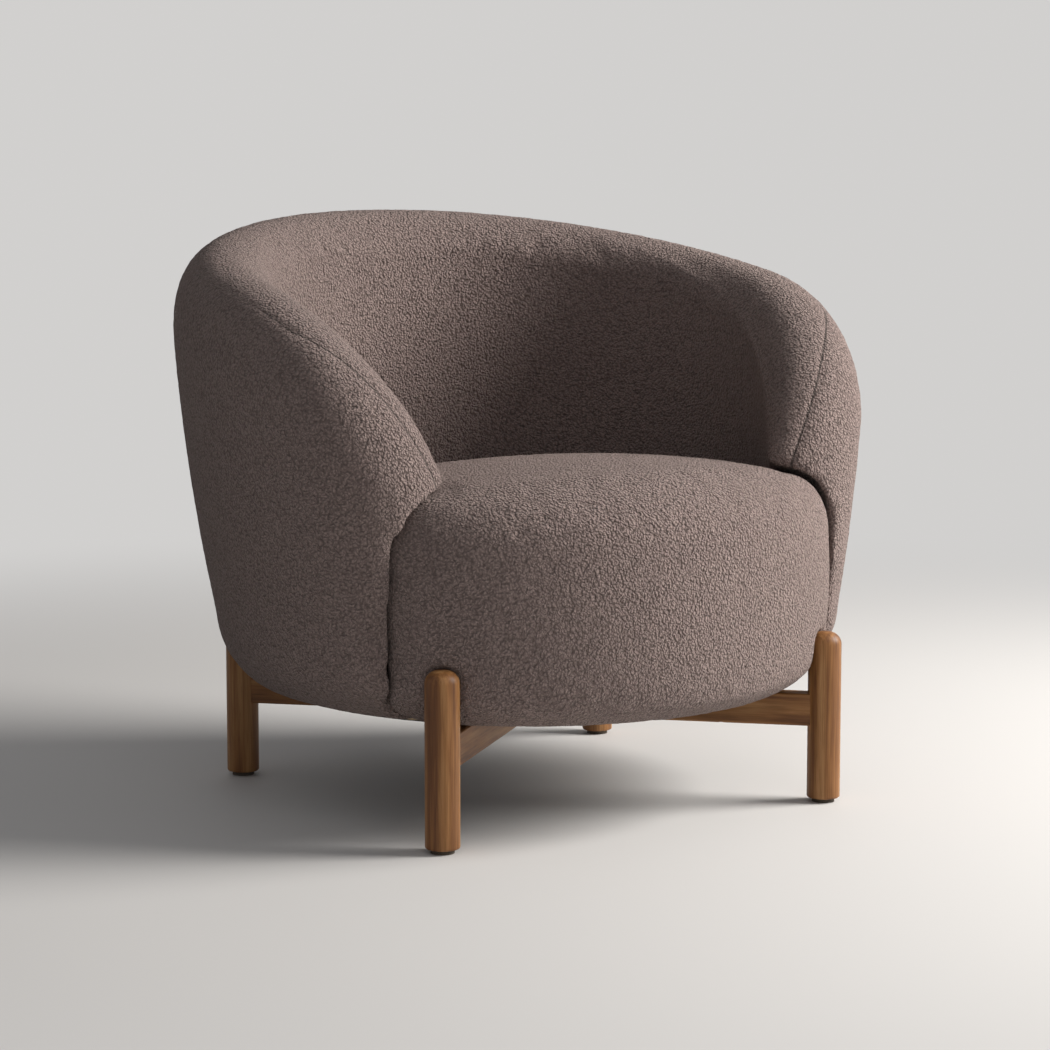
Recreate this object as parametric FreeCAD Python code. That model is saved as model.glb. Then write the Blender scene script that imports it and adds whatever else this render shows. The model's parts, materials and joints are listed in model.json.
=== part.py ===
import FreeCAD, Part
import math
import os
from FreeCAD import Vector

# Round tub chair: a leaning bucket of upholstery on a crossed oak base with four dowel legs.
# Millimetres, +Z up, the front faces -Y. Everything is modelled about the middle of the four
# legs and moved at the end, so that the origin is on the floor under the middle of the chair.

# Base
LEG_SET_X = 116.0
LEG_SET_Y = 127.0
LEG_D = 41.0
LEG_TOP = 213.0
LEG_CROWN_R = 15.5
LEG_FOOT_R = 3.0
CROWN_STEPS = 3
GLIDE_D = 28.0
GLIDE_T = 5.0
RAIL_Z = 96.0
RAIL_H = 40.0
RAIL_W = 26.0
RAIL_EDGE = 1.5
TENON_L = 22.0
TENON_W = 12.0
TENON_H = 28.0
JOINT_GAP = 0.1

# Body outline: radii are from the middle of the chair, heights from the floor
WELL_R = 297.0
WELL_FLARE = 0.022
WALL_LIP = 6.0
WALL_FOOT_T = 91.0
WALL_TOP_T = 134.0
FOOT_Z = 235.0
SHOULDER_Z = 600.0
SIDE_BULGE = 7.0
ARM_FLARE = 9.0
FLARE_FROM = 70.0
LEAN = 0.044
LEAN_FROM_Z = 250.0
BACK_TOP = 722.0
ARM_TOP = 648.0
RIM_OUT_H = 102.0
RIM_IN_H = 84.0
RIDGE_SHARE = 0.47
STATION_STEP = 7.5
BOWL_STEPS = 4

# Arm fronts: angles are counted from the back of the chair
NOSE_FROM = 90.0
NOSE_TIP_T = 30.6
NOSE_DROP = 235.0
NOSE_STATIONS = 7
CORNER_R = 115.0
CORNER_FROM = 113.0

# Seat: one block with a bowed front and a short wing in front of each arm
SEAT_WING = 10.0
SEAT_REACH = 53.0
SEAT_BOW_R = 430.0
SEAT_TOP = 430.0
SEAT_CROWN = 24.0
SEAT_CROWN_R = 1500.0
SEAT_APEX = 190.0
SEAT_ROLL = 88.0
SEAT_ROLL_H = 88.0
SEAT_CORNER_R = 26.0
SEAT_SHOULDER_R = 56.0
SEAT_FACE_BULGE = 5.0
SEAT_TUCK_IN = 13.0
SEAT_TUCK = 22.0
SEAT_TUCK_H = 36.0
WING_DEPTH = 172.0
SEAT_GAP = 1.0
SEAT_STATIONS = (0.0, 0.25, 0.5, 0.7, 0.84, 0.92, 0.965, 0.998)

# Upholstery
COVER_T = 3.0
INNER_COVER_T = 4.0
LEG_RECESS_GAP = 0.4
DUST_T = 1.2
SEAM_POINT = 8

# Frame in the body
BOARD_T = 18.0
BASE_HOOP_LIP = 3.0
BASE_HOOP_W = 150.0
SEAT_HOOP_W = 107.0
SEAT_HOOP_Z = 292.0
DECK_SET = 97.0
FRONT_PAD = 56.0
FRONT_PANEL_T = 5.0
POST_W = 44.0
POST_D = 34.0
POST_SET = 42.0
OUTER_PAD = 20.0
INNER_PAD = 45.0
TOP_PAD = 34.0
LOW_INNER_PAD = 6.5
FRAME_TOE = 19.0
FRAME_SHOULDER_DROP = 70.0
TOP_RAIL_W = 32.0
TOP_RAIL_H = 22.0
LINER_T = 3.0
FRAME_END = 120.0
RIB_ANGLES = (-110.0, -80.0, -40.0, 0.0, 40.0, 80.0, 110.0)
RIB_NAMES = ("arm_post_left", "rib_side_left", "rib_back_left", "rib_back_middle",
             "rib_back_right", "rib_side_right", "arm_post_right")
RIB_T = 18.0
RIB_FOOT = 34.0
RIB_TOE_H = 28.0
RIB_TOE_RISE = 45.0
FRAME_GAP = 0.3
RIB_GAP = 1.0
WEB_W = 50.0
WEB_T = 2.5
WEB_PITCH = 78.0
WEB_MARGIN = 14.0
WEB_COUNT = 5

# Fixings
BOLT_SET = 50.0
BOLT_D = 8.0
BOLT_HOLE_D = 9.0
BOLT_HEAD_W = 13.0
BOLT_HEAD_H = 5.0
BOLT_PROUD = 2.0
SINK_D = 24.0
SINK_DEPTH = 7.0
NUT_W = 15.0
NUT_H = 8.0
FIT_GAP = 0.2
HOLE_SIDES = 12

# Values worked out from the sizes above
FLAT_R = WELL_R + WALL_LIP
FOOT_R = WELL_R + WALL_FOOT_T
SHOULDER_R = WELL_R + WALL_TOP_T
CORNER_REACH = FOOT_R + ARM_FLARE - CORNER_R
TIP_R = WELL_R + NOSE_TIP_T
TIP_COS = (CORNER_REACH ** 2 + TIP_R ** 2 - CORNER_R ** 2) / (2 * CORNER_REACH * TIP_R)
NOSE_END = CORNER_FROM + math.degrees(math.acos(TIP_COS))
LEG_X = FOOT_R - LEG_SET_X
LEG_Y = FOOT_R - LEG_SET_Y
SEAT_HALF_W = WELL_R + SEAT_WING
SEAT_FRONT = WELL_R + SEAT_REACH
SEAT_APEX_Y = SEAT_APEX - SEAT_FRONT
WING_BACK_Y = WING_DEPTH - SEAT_FRONT
BASE_HOOP_R = WELL_R + BASE_HOOP_LIP
BASE_OPENING = 2 * (BASE_HOOP_R - BASE_HOOP_W)
SEAT_OPENING = 2 * (WELL_R - SEAT_HOOP_W)
DECK_HALF_W = WELL_R - DECK_SET
POST_TURN = math.degrees(math.asin((DECK_HALF_W - POST_SET) / (SEAT_BOW_R - FRONT_PAD)))
FRAME_TOE_R = FLAT_R + FRAME_TOE
RIB_TOE_R = BASE_HOOP_R - RIB_FOOT
BOLT_R = BASE_HOOP_R - BOLT_SET
RAIL_TOP = RAIL_Z + RAIL_H
BODY_Z = RAIL_TOP + DUST_T
HOOP_TOP = BODY_Z + BOARD_T
SEAT_HOOP_TOP = SEAT_HOOP_Z + BOARD_T
SEAT_BASE_Z = SEAT_HOOP_TOP + 2 * WEB_T
DECK_TOP = SEAT_BASE_Z + FRAME_GAP
BACK_REACH = SHOULDER_R + LEAN * (SHOULDER_Z - LEAN_FROM_Z)
ORIGIN_Y = (BACK_REACH - SEAT_FRONT - SEAT_FACE_BULGE) / 2
HIGH = 2 * BACK_TOP
WIDE = 3 * SHOULDER_R
LEG_SPOTS = ((-LEG_X, -LEG_Y), (LEG_X, -LEG_Y), (-LEG_X, LEG_Y), (LEG_X, LEG_Y))
LEG_NAMES = ("leg_front_left", "leg_front_right", "leg_back_left", "leg_back_right")
UP = Vector(0, 0, 1)


# Helpers

def write(name, shape):
    """Move a finished piece to the chair's origin and write it."""
    piece = shape.copy()
    piece.translate(Vector(0, -ORIGIN_Y, 0))
    piece.exportStep("parts/" + name + ".step")
    solids = len(piece.Solids)
    print(f"{name}: valid {piece.isValid()}, solids {solids}, litres {piece.Volume / 1e6:.4f}")


def polygon(points):
    return Part.makePolygon(list(points) + [points[0]])


def facet_loft(rings):
    """Closed solid of flat facets between rings that have the same number of points."""
    count = len(rings[0])
    faces = [Part.Face(polygon(rings[0])), Part.Face(polygon(rings[-1]))]
    for low, high in zip(rings, rings[1:]):
        for i in range(count):
            j = (i + 1) % count
            faces.append(Part.Face(polygon((low[i], low[j], high[j]))))
            faces.append(Part.Face(polygon((low[i], high[j], high[i]))))
    solid = Part.Solid(Part.makeShell(faces))
    if solid.Volume < 0:
        solid.reverse()
    return solid


def ring(r, z):
    """Round outline with as many straight sides as the wall has stations in a full turn."""
    count = round(360 / STATION_STEP)
    turns = [2 * math.pi * i / count for i in range(count)]
    return [Vector(r * math.sin(a), r * math.cos(a), z) for a in turns]


def cylinder(d, z, height, x=0.0, y=0.0):
    return Part.makeCylinder(d / 2, height, Vector(x, y, z), UP)


def box(x0, x1, y0, y1, z0, z1):
    return Part.makeBox(x1 - x0, y1 - y0, z1 - z0, Vector(x0, y0, z0))


def place(r, z, theta):
    """A point of the leaning tub: radius, height and angle from the back."""
    a = math.radians(theta)
    return Vector(r * math.sin(a), r * math.cos(a) + LEAN * (z - LEAN_FROM_Z), z)


def both_ways(half):
    """The same stations on both sides of zero, from one end to the other."""
    return [-a for a in reversed(half[1:])] + half


# Outline of the tub

def side_radius(z):
    """Outer radius of the tub's side, a shallow bulge from foot to shoulder."""
    u = (z - FOOT_Z) / (SHOULDER_Z - FOOT_Z)
    return FOOT_R + (SHOULDER_R - FOOT_R) * u + 4 * SIDE_BULGE * u * (1 - u)


def corner_radius(r, theta):
    """Outer radius along the arm, which swells a little and turns in on a round corner."""
    u = min(max((abs(theta) - FLARE_FROM) / (CORNER_FROM - FLARE_FROM), 0.0), 1.0)
    r += ARM_FLARE * u * u * (3 - 2 * u)
    turn = math.radians(abs(theta) - CORNER_FROM)
    if turn <= 0:
        return r
    reach = r - CORNER_R
    return reach * math.cos(turn) + math.sqrt(max(CORNER_R ** 2 - (reach * math.sin(turn)) ** 2, 0))


def well_radius(z):
    """Radius of the round space inside the wall."""
    return WELL_R + WELL_FLARE * (z - BODY_Z)


def ridge_height(theta):
    """Top of the wall: a sloping plane, with a rounded drop at the arm's front."""
    a = abs(theta)
    height = ARM_TOP + (BACK_TOP - ARM_TOP) * math.cos(math.radians(a))
    if a > NOSE_FROM:
        u = min((a - NOSE_FROM) / (NOSE_END - NOSE_FROM), 1.0)
        height -= NOSE_DROP * (1 - math.sqrt(1 - u * u))
    return height


def foot_arc():
    """Radius and middle of the round under the side, upright where it meets the side."""
    rise = FOOT_Z - BODY_Z
    run = FOOT_R - FLAT_R
    radius = (run ** 2 + rise ** 2) / (2 * run)
    return radius, math.asin(rise / radius)


def wall_points(theta, outer=0.0, inner=0.0):
    """Outline of the wall at one angle, set in by the covers' thicknesses."""
    top = ridge_height(theta) - outer
    full = side_radius(top - RIM_OUT_H) - well_radius(top)
    wide = corner_radius(side_radius(top - RIM_OUT_H), theta) - well_radius(top)
    share = math.sqrt(wide / full)
    z_out = top - RIM_OUT_H * share
    z_in = top - RIM_IN_H * share
    foot_z = min(FOOT_Z, z_out - RIM_OUT_H / 4)
    r_out = corner_radius(side_radius(z_out), theta) - outer
    r_foot = corner_radius(side_radius(foot_z), theta) - outer
    r_mid = corner_radius(side_radius((foot_z + z_out) / 2), theta) - outer
    r_in = well_radius(z_in) + inner
    ridge = r_in + RIDGE_SHARE * (r_out - r_in)
    bend, sweep = foot_arc()
    lip = WELL_R + inner + max(FLAT_R - WELL_R - inner, FRAME_GAP)

    def low(share_of_sweep):
        a = sweep * share_of_sweep
        run = (1 - math.cos(a)) / (1 - math.cos(sweep))
        return place(r_foot - (r_foot - lip) * run, foot_z - (bend - outer) * math.sin(a), theta)

    def rim(reach, height, angle):
        a = math.radians(angle)
        return place(ridge + reach * math.cos(a), top - height * (1 - math.sin(a)), theta)

    outside = [rim(r_out - ridge, RIM_OUT_H * share, a) for a in (0, 22.5, 45, 67.5, 90)]
    inside = [rim(r_in - ridge, RIM_IN_H * share, a) for a in (67.5, 45, 22.5, 0)]
    flat = low(1.0)
    start = place(WELL_R + inner, flat.z, theta)
    side = [place(r_foot, foot_z, theta), place(r_mid, (foot_z + z_out) / 2, theta)]
    return [start, flat, low(0.67), low(0.33)] + side + outside + inside


def tub_angles(end=NOSE_END, tail=0.0):
    """Station angles from one arm's front round the back to the other."""
    count = round(NOSE_FROM / STATION_STEP)
    half = [NOSE_FROM * i / count for i in range(count + 1)]
    for i in range(1, NOSE_STATIONS + 1):
        turn = math.radians(90 * i / (NOSE_STATIONS + 0.35))
        half.append(NOSE_FROM + (NOSE_END - NOSE_FROM - tail) * math.sin(turn))
    return both_ways([a for a in half if a <= end])


def tub_outside():
    """The wall from its inner foot out to the seam on the rim."""
    return facet_loft([wall_points(a)[:SEAM_POINT + 1] for a in tub_angles()])


def tub_inside():
    """The rest of the wall, from the seam back to the inner foot."""
    rings = [wall_points(a) for a in tub_angles()]
    return facet_loft([[r[0]] + r[:SEAM_POINT - 1:-1] for r in rings])


def tub_core():
    """The tub inside its covers."""
    tail = math.degrees(COVER_T / WELL_R)
    return facet_loft([wall_points(a, COVER_T, INNER_COVER_T) for a in tub_angles(tail=tail)])


# Outline of the seat

def seat_front(x, inset):
    """Front of the seat in plan: a bow with a round corner at each wing."""
    half = SEAT_HALF_W - inset
    bow = SEAT_BOW_R - inset
    y = bow - math.sqrt(bow ** 2 - x * x) - (SEAT_FRONT - inset)
    over = abs(x) - (half - SEAT_CORNER_R)
    if over > 0:
        y += SEAT_CORNER_R - math.sqrt(max(SEAT_CORNER_R ** 2 - over ** 2, 0.0))
    return y


def seat_height(x, inset):
    """Top of the seat across its width: a crown with rolled shoulders."""
    flat = SEAT_HALF_W - inset - SEAT_SHOULDER_R
    z = SEAT_TOP - inset - SEAT_CROWN * (x / flat) ** 2
    over = abs(x) - flat
    if over > 0:
        z -= SEAT_SHOULDER_R - math.sqrt(max(SEAT_SHOULDER_R ** 2 - over ** 2, 0.0))
    return z


def seat_points(x, inset=0.0):
    """Fore-and-aft outline of the seat block at one station across its width."""
    front = seat_front(x, inset)
    top = seat_height(x, inset)
    back = WELL_R
    roll_end = front + SEAT_ROLL
    face_top = top - SEAT_ROLL_H
    face_low = BODY_Z + SEAT_TUCK_H

    def crown(y):
        return top - SEAT_CROWN_R + math.sqrt(SEAT_CROWN_R ** 2 - (y - SEAT_APEX_Y) ** 2)

    def at(y, z):
        return Vector(x, y, z)

    def roll(angle):
        a = math.radians(angle)
        rise = crown(roll_end) - face_top
        return at(roll_end - SEAT_ROLL * math.cos(a), face_top + rise * math.sin(a))

    under = at(front + SEAT_TUCK_IN + SEAT_TUCK, BODY_Z)
    tuck = at(front + SEAT_TUCK_IN - 1.0, BODY_Z + SEAT_TUCK_H / 3)
    face = at(front - SEAT_FACE_BULGE * (1 - inset / SEAT_ROLL), (face_low + face_top) / 2)
    rolls = [roll(a) for a in (0, 22.5, 45, 67.5, 90)]
    tops = [at((roll_end + back) / 2, crown((roll_end + back) / 2)), at(back, crown(back))]
    return [at(back, BODY_Z), under, tuck, at(front, face_low), face] + rolls + tops


def seat_loft(inset):
    half = SEAT_HALF_W - inset
    stations = both_ways([half * s for s in SEAT_STATIONS])
    return facet_loft([seat_points(x, inset) for x in stations])


def well(gap):
    """The leaning round space inside the wall, smaller by a gap."""
    rings = []
    for z in (BODY_Z, HIGH):
        lean = Vector(0, LEAN * (z - LEAN_FROM_Z), 0)
        rings.append([p + lean for p in ring(well_radius(z) - gap, z)])
    return facet_loft(rings)


def bowl(rise=0.0):
    """Everything above the body's rounded bottom edge, in straight runs."""
    bend, sweep = foot_arc()
    rings = []
    for i in reversed(range(BOWL_STEPS + 1)):
        a = sweep * i / BOWL_STEPS
        rings.append(ring(FOOT_R - bend * (1 - math.cos(a)), FOOT_Z - bend * math.sin(a) + rise))
    return facet_loft(rings + [ring(FOOT_R, HIGH)])


def seat_trim(block, inset):
    """Behind its wings the seat fits the round space in the tub and stops at the webbing."""
    wings = box(-WIDE, WIDE, -WIDE, WING_BACK_Y - inset, 0, HIGH)
    inside = well(SEAT_GAP + inset).cut(box(-WIDE, WIDE, WING_BACK_Y - inset, WIDE, 0, DECK_TOP))
    return block.common(inside.fuse(wings))


def seat_envelope():
    return seat_trim(seat_loft(0.0), 0.0).common(bowl())


def seat_core():
    """The seat inside its cover."""
    low = box(-WIDE, WIDE, -WIDE, WIDE, 0, BODY_Z + 2 * COVER_T)
    return seat_trim(seat_loft(COVER_T), COVER_T).cut(low).common(bowl(COVER_T))


def seat_room():
    """What the arm fronts leave free for the seat's wings."""
    return seat_loft(-SEAT_GAP).common(box(-WIDE, WIDE, -WIDE, WING_BACK_Y + SEAT_GAP, 0, HIGH))


# Deck: the boards, panel and posts inside the seat

def round_board(r, z, thickness):
    return Part.Face(polygon(ring(r, z))).extrude(Vector(0, 0, thickness))


def deck_prism(r, pad, z0, z1):
    """Plan of the seat frame: a circle joined to a bowed front."""
    bow = SEAT_BOW_R - pad
    front = cylinder(2 * bow, z0, z1 - z0, 0, SEAT_BOW_R - SEAT_FRONT)
    front = front.common(box(-DECK_HALF_W, DECK_HALF_W, -WIDE, 0, z0, z1))
    return round_board(r, z0, z1 - z0).fuse(front).removeSplitter()


def opening(width, z):
    return box(-width / 2, width / 2, -width / 2, width / 2, z, z + BOARD_T)


def base_hoop():
    hoop = round_board(BASE_HOOP_R, BODY_Z, BOARD_T).cut(opening(BASE_OPENING, BODY_Z))
    for x, y in bolt_spots():
        hoop = hoop.cut(prism(HOLE_SIDES, BOLT_HOLE_D, BODY_Z, BOARD_T, x, y))
    return hoop


def seat_hoop():
    r = WELL_R + LOW_INNER_PAD - FRAME_GAP
    hoop = deck_prism(r, FRONT_PAD, SEAT_HOOP_Z, SEAT_HOOP_TOP)
    return hoop.cut(opening(SEAT_OPENING, SEAT_HOOP_Z))


def bow_ring(pad, thickness, z0, z1):
    """A curved band that follows the seat's front at a depth behind it."""
    y = SEAT_BOW_R - SEAT_FRONT
    outer = cylinder(2 * (SEAT_BOW_R - pad), z0, z1 - z0, 0, y)
    inner = cylinder(2 * (SEAT_BOW_R - pad - thickness), z0, z1 - z0, 0, y)
    return outer.cut(inner)


def front_panel():
    ring = bow_ring(FRONT_PAD, FRONT_PANEL_T, HOOP_TOP, SEAT_HOOP_Z)
    return ring.common(box(-DECK_HALF_W, DECK_HALF_W, -WIDE, 0, 0, HIGH))


def front_post(turn):
    """Upright block behind the front panel, square to the bow."""
    y = SEAT_BOW_R - SEAT_FRONT
    face = SEAT_BOW_R - FRONT_PAD - FRONT_PANEL_T - FRAME_GAP
    depth = math.sqrt(face ** 2 - (POST_W / 2) ** 2)
    post = box(-POST_W / 2, POST_W / 2, y - depth, y - depth + POST_D, HOOP_TOP, SEAT_HOOP_Z)
    post.rotate(Vector(0, y, 0), UP, turn)
    return post


def webbing():
    """Elastic bands across the seat hoop, fore and aft below and side to side on top."""
    field = deck_prism(WELL_R - WEB_MARGIN, FRONT_PAD + WEB_MARGIN, SEAT_HOOP_TOP, SEAT_BASE_Z)
    middle = (WEB_COUNT - 1) / 2
    along, across = [], []
    for i in range(WEB_COUNT):
        c = (i - middle) * WEB_PITCH
        z = SEAT_HOOP_TOP
        along.append(field.common(box(c - WEB_W / 2, c + WEB_W / 2, -WIDE, WIDE, z, z + WEB_T)))
        across.append(field.common(box(-WIDE, WIDE, c - WEB_W / 2, c + WEB_W / 2, z + WEB_T, z + 2 * WEB_T)))
    return Part.makeCompound(along), Part.makeCompound(across)


# Wall frame: ribs on the base hoop, a rail along their heads and a liner on each face

def frame_levels(theta):
    """Radii and heights of the wall's hollow at one angle."""
    top = ridge_height(theta) - TOP_PAD
    shoulder = top - FRAME_SHOULDER_DROP
    outer = corner_radius(side_radius(shoulder), theta) - OUTER_PAD
    foot = corner_radius(side_radius(FOOT_Z), theta) - OUTER_PAD
    inner = well_radius(shoulder) + INNER_PAD
    head = well_radius(top) + RIDGE_SHARE * (outer + OUTER_PAD - well_radius(top))
    return top, shoulder, outer, foot, inner, head


def hollow_points(theta):
    top, shoulder, outer, foot, inner, head = frame_levels(theta)
    low = well_radius(DECK_TOP) + LOW_INNER_PAD
    return [place(r, z, theta) for r, z in (
        (WELL_R + LOW_INNER_PAD, HOOP_TOP), (FRAME_TOE_R, HOOP_TOP), (foot, FOOT_Z), (outer, shoulder),
        (head + TOP_RAIL_W / 2, top), (head - TOP_RAIL_W / 2, top), (inner, shoulder), (low, DECK_TOP))]


def outer_liner_points(theta):
    top, shoulder, outer, foot, inner, head = frame_levels(theta)
    skin = ((FRAME_TOE_R, HOOP_TOP), (foot, FOOT_Z), (outer, shoulder))
    out = [place(r - FRAME_GAP, z, theta) for r, z in skin]
    back = [place(r - FRAME_GAP - LINER_T, z, theta) for r, z in reversed(skin)]
    return out + back


def inner_liner_points(theta):
    top, shoulder, outer, foot, inner, head = frame_levels(theta)
    skin = ((inner, shoulder), (well_radius(DECK_TOP) + LOW_INNER_PAD, DECK_TOP))
    out = [place(r + FRAME_GAP, z, theta) for r, z in skin]
    back = [place(r + FRAME_GAP + LINER_T, z, theta) for r, z in reversed(skin)]
    return out + back


def top_rail_points(theta):
    top, shoulder, outer, foot, inner, head = frame_levels(theta)
    half = TOP_RAIL_W / 2 - FRAME_GAP
    high = top - FRAME_GAP
    low = high - TOP_RAIL_H
    return [place(r, z, theta) for r, z in (
        (head - half, low), (head + half, low), (head + half, high), (head - half, high))]


def frame_loft(points, end=FRAME_END):
    return facet_loft([points(a) for a in tub_angles(end)])


def rib(theta):
    """Plywood former that stands on the base hoop and carries the top rail."""
    top, shoulder, outer, foot, inner, head = frame_levels(theta)
    skin = FRAME_GAP + LINER_T + RIB_GAP
    back = FRAME_GAP + LINER_T + FRAME_GAP
    high = top - TOP_RAIL_H - 2 * FRAME_GAP
    share = (high - shoulder) / (top - shoulder)
    head_out = outer + (head + TOP_RAIL_W / 2 - outer) * share - skin
    head_in = inner + (head - TOP_RAIL_W / 2 - inner) * share + FRAME_GAP
    low = WELL_R + LOW_INNER_PAD + RIB_GAP
    seat = well_radius(DECK_TOP) + LOW_INNER_PAD + back
    outline = [place(r, z, theta) for r, z in (
        (RIB_TOE_R, HOOP_TOP), (FRAME_TOE_R - skin, HOOP_TOP), (foot - skin, FOOT_Z), (outer - skin, shoulder),
        (head_out, high), (head_in, high), (inner + back, shoulder), (seat, DECK_TOP), (low, SEAT_HOOP_TOP),
        (low, HOOP_TOP + RIB_TOE_H + RIB_TOE_RISE), (RIB_TOE_R, HOOP_TOP + RIB_TOE_H))]
    a = math.radians(theta)
    side = Vector(math.cos(a), -math.sin(a), 0)
    face = Part.Face(polygon(outline))
    face.translate(side * (-RIB_T / 2))
    return face.extrude(side * RIB_T)


# Base: legs, crossed rails, glides and fixings

def leg(x, y):
    """Turned dowel leg: chamfered foot, rounded crown, mortised for its rail."""
    r = LEG_D / 2
    crown = []
    for i in range(CROWN_STEPS + 1):
        a = math.radians(90 * i / CROWN_STEPS)
        crown.append(Vector(r - LEG_CROWN_R * (1 - math.cos(a)), 0, LEG_TOP - LEG_CROWN_R * (1 - math.sin(a))))
    foot = [Vector(0, 0, GLIDE_T), Vector(r - LEG_FOOT_R, 0, GLIDE_T), Vector(r, 0, GLIDE_T + LEG_FOOT_R)]
    post = Part.Face(polygon(foot + crown + [Vector(0, 0, LEG_TOP)])).revolve(Vector(0, 0, 0), UP, 360)
    post.translate(Vector(x, y, 0))
    return post.cut(tenons(JOINT_GAP))


def glides():
    return Part.makeCompound([cylinder(GLIDE_D, 0, GLIDE_T, x, y) for x, y in LEG_SPOTS])


def rail_turn(side):
    """Turn of a diagonal rail: +1 runs from front left to back right."""
    return side * math.degrees(math.atan2(LEG_Y, LEG_X))


def rail_box(side, width, z0, z1, half):
    bar = box(-half, half, -width / 2, width / 2, z0, z1)
    bar.rotate(Vector(0, 0, 0), UP, rail_turn(side))
    return bar


def tenons(gap):
    """The four tongues on the rails' ends, grown by a gap for their mortises."""
    reach = math.hypot(LEG_X, LEG_Y)
    mid = RAIL_Z + RAIL_H / 2
    z0, z1 = mid - TENON_H / 2 - gap, mid + TENON_H / 2 + gap
    bars = []
    for side in (1, -1):
        bar = rail_box(side, TENON_W + 2 * gap, z0, z1, reach - LEG_D / 2 + TENON_L + gap)
        bars.append(bar.cut(cylinder(2 * reach - 2 * LEG_D, z0, z1 - z0)))
    return Part.makeCompound(bars)


def cross_rail(side):
    """Diagonal rail: half lapped at the middle, coped and tenoned at the legs."""
    reach = math.hypot(LEG_X, LEG_Y)
    bar = box(-reach, reach, -RAIL_W / 2, RAIL_W / 2, RAIL_Z, RAIL_TOP)
    long_edges = [e for e in bar.Edges if abs(e.Length - 2 * reach) < 0.01]
    bar = bar.makeChamfer(RAIL_EDGE, long_edges)
    bar.rotate(Vector(0, 0, 0), UP, rail_turn(side))
    for x, y in LEG_SPOTS:
        bar = bar.cut(cylinder(LEG_D, 0, HIGH, x, y))
    middle = RAIL_Z + RAIL_H / 2
    span = (RAIL_Z - 1, middle + JOINT_GAP / 2) if side > 0 else (middle - JOINT_GAP / 2, RAIL_TOP + 1)
    bar = bar.cut(rail_box(-side, RAIL_W + 2 * JOINT_GAP, span[0], span[1], LEG_X))
    inner = max(bar.Solids, key=lambda s: s.Volume)
    tongue = rail_box(side, TENON_W, middle - TENON_H / 2, middle + TENON_H / 2, reach - LEG_D / 2 + TENON_L)
    lap = rail_box(side, RAIL_W, 0, HIGH, reach - 2 * LEG_D)
    bar = inner.fuse(tongue.cut(lap))
    for x, y in bolt_spots():
        if x * y * side > 0:
            bar = bar.cut(cylinder(BOLT_HOLE_D, RAIL_Z, RAIL_H, x, y))
            bar = bar.cut(cylinder(SINK_D, RAIL_Z, SINK_DEPTH, x, y))
    return bar


def bolt_spots():
    reach = math.hypot(LEG_X, LEG_Y)
    return [(x * BOLT_R / reach, y * BOLT_R / reach) for x, y in LEG_SPOTS]


def prism(sides, width, z, height, x, y):
    """Upright prism, width across its flats."""
    r = width / 2 / math.cos(math.pi / sides)
    turns = [2 * math.pi * i / sides for i in range(sides)]
    corners = [Vector(x + r * math.cos(a), y + r * math.sin(a), z) for a in turns]
    return Part.Face(polygon(corners)).extrude(Vector(0, 0, height))


def bolts():
    """Hexagon bolts, heads sunk in the rails' undersides."""
    under = RAIL_Z + SINK_DEPTH
    pieces = []
    for x, y in bolt_spots():
        head = prism(6, BOLT_HEAD_W, under - BOLT_HEAD_H, BOLT_HEAD_H, x, y)
        shank = cylinder(BOLT_D, under, HOOP_TOP + NUT_H + BOLT_PROUD - under, x, y)
        pieces.append(head.fuse(shank).Solids[0])
    return Part.makeCompound(pieces)


def nuts():
    pieces = []
    for x, y in bolt_spots():
        bore = prism(HOLE_SIDES, BOLT_D + 2 * FIT_GAP, HOOP_TOP, NUT_H, x, y)
        pieces.append(prism(6, NUT_W, HOOP_TOP, NUT_H, x, y).cut(bore).Solids[0])
    return Part.makeCompound(pieces)


def dust_cover():
    sheet = round_board(BASE_HOOP_R, RAIL_TOP, DUST_T)
    for x, y in bolt_spots():
        sheet = sheet.cut(prism(HOLE_SIDES, BOLT_HOLE_D, RAIL_TOP, DUST_T, x, y))
    return sheet


# Upholstery

def leg_room():
    """Round recesses where the legs press into the covers."""
    d = LEG_D + 2 * LEG_RECESS_GAP
    posts = [cylinder(d, 0, LEG_TOP + LEG_RECESS_GAP, x, y) for x, y in LEG_SPOTS]
    return Part.makeCompound(posts)


def keep_solids(shape, least=2000.0):
    """Drop slivers that the cuts leave behind."""
    solids = [s for s in shape.Solids if s.Volume > least]
    return solids[0] if len(solids) == 1 else Part.makeCompound(solids)


def upholstery():
    """Covers and foams of the tub and the seat."""
    deck = well(-LOW_INNER_PAD).common(box(-WIDE, WIDE, WING_BACK_Y, WIDE, 0, DECK_TOP))
    room = seat_room().fuse(leg_room()).fuse(deck).fuse(round_board(BASE_HOOP_R + FRAME_GAP, 0, HOOP_TOP))
    core = tub_core()
    write("outer_cover", keep_solids(tub_outside().cut(core).cut(room)))
    write("inner_cover", keep_solids(tub_inside().cut(core).cut(room)))
    write("tub_foam", keep_solids(core.cut(room).cut(frame_loft(hollow_points))))
    seat = seat_envelope().cut(leg_room())
    pad = seat_core().cut(leg_room())
    frame = deck_prism(WELL_R + LOW_INNER_PAD, FRONT_PAD - FRAME_GAP, 0, DECK_TOP)
    write("seat_cover", keep_solids(seat.cut(pad).cut(frame)))
    write("seat_foam", keep_solids(pad.cut(frame)))


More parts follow.
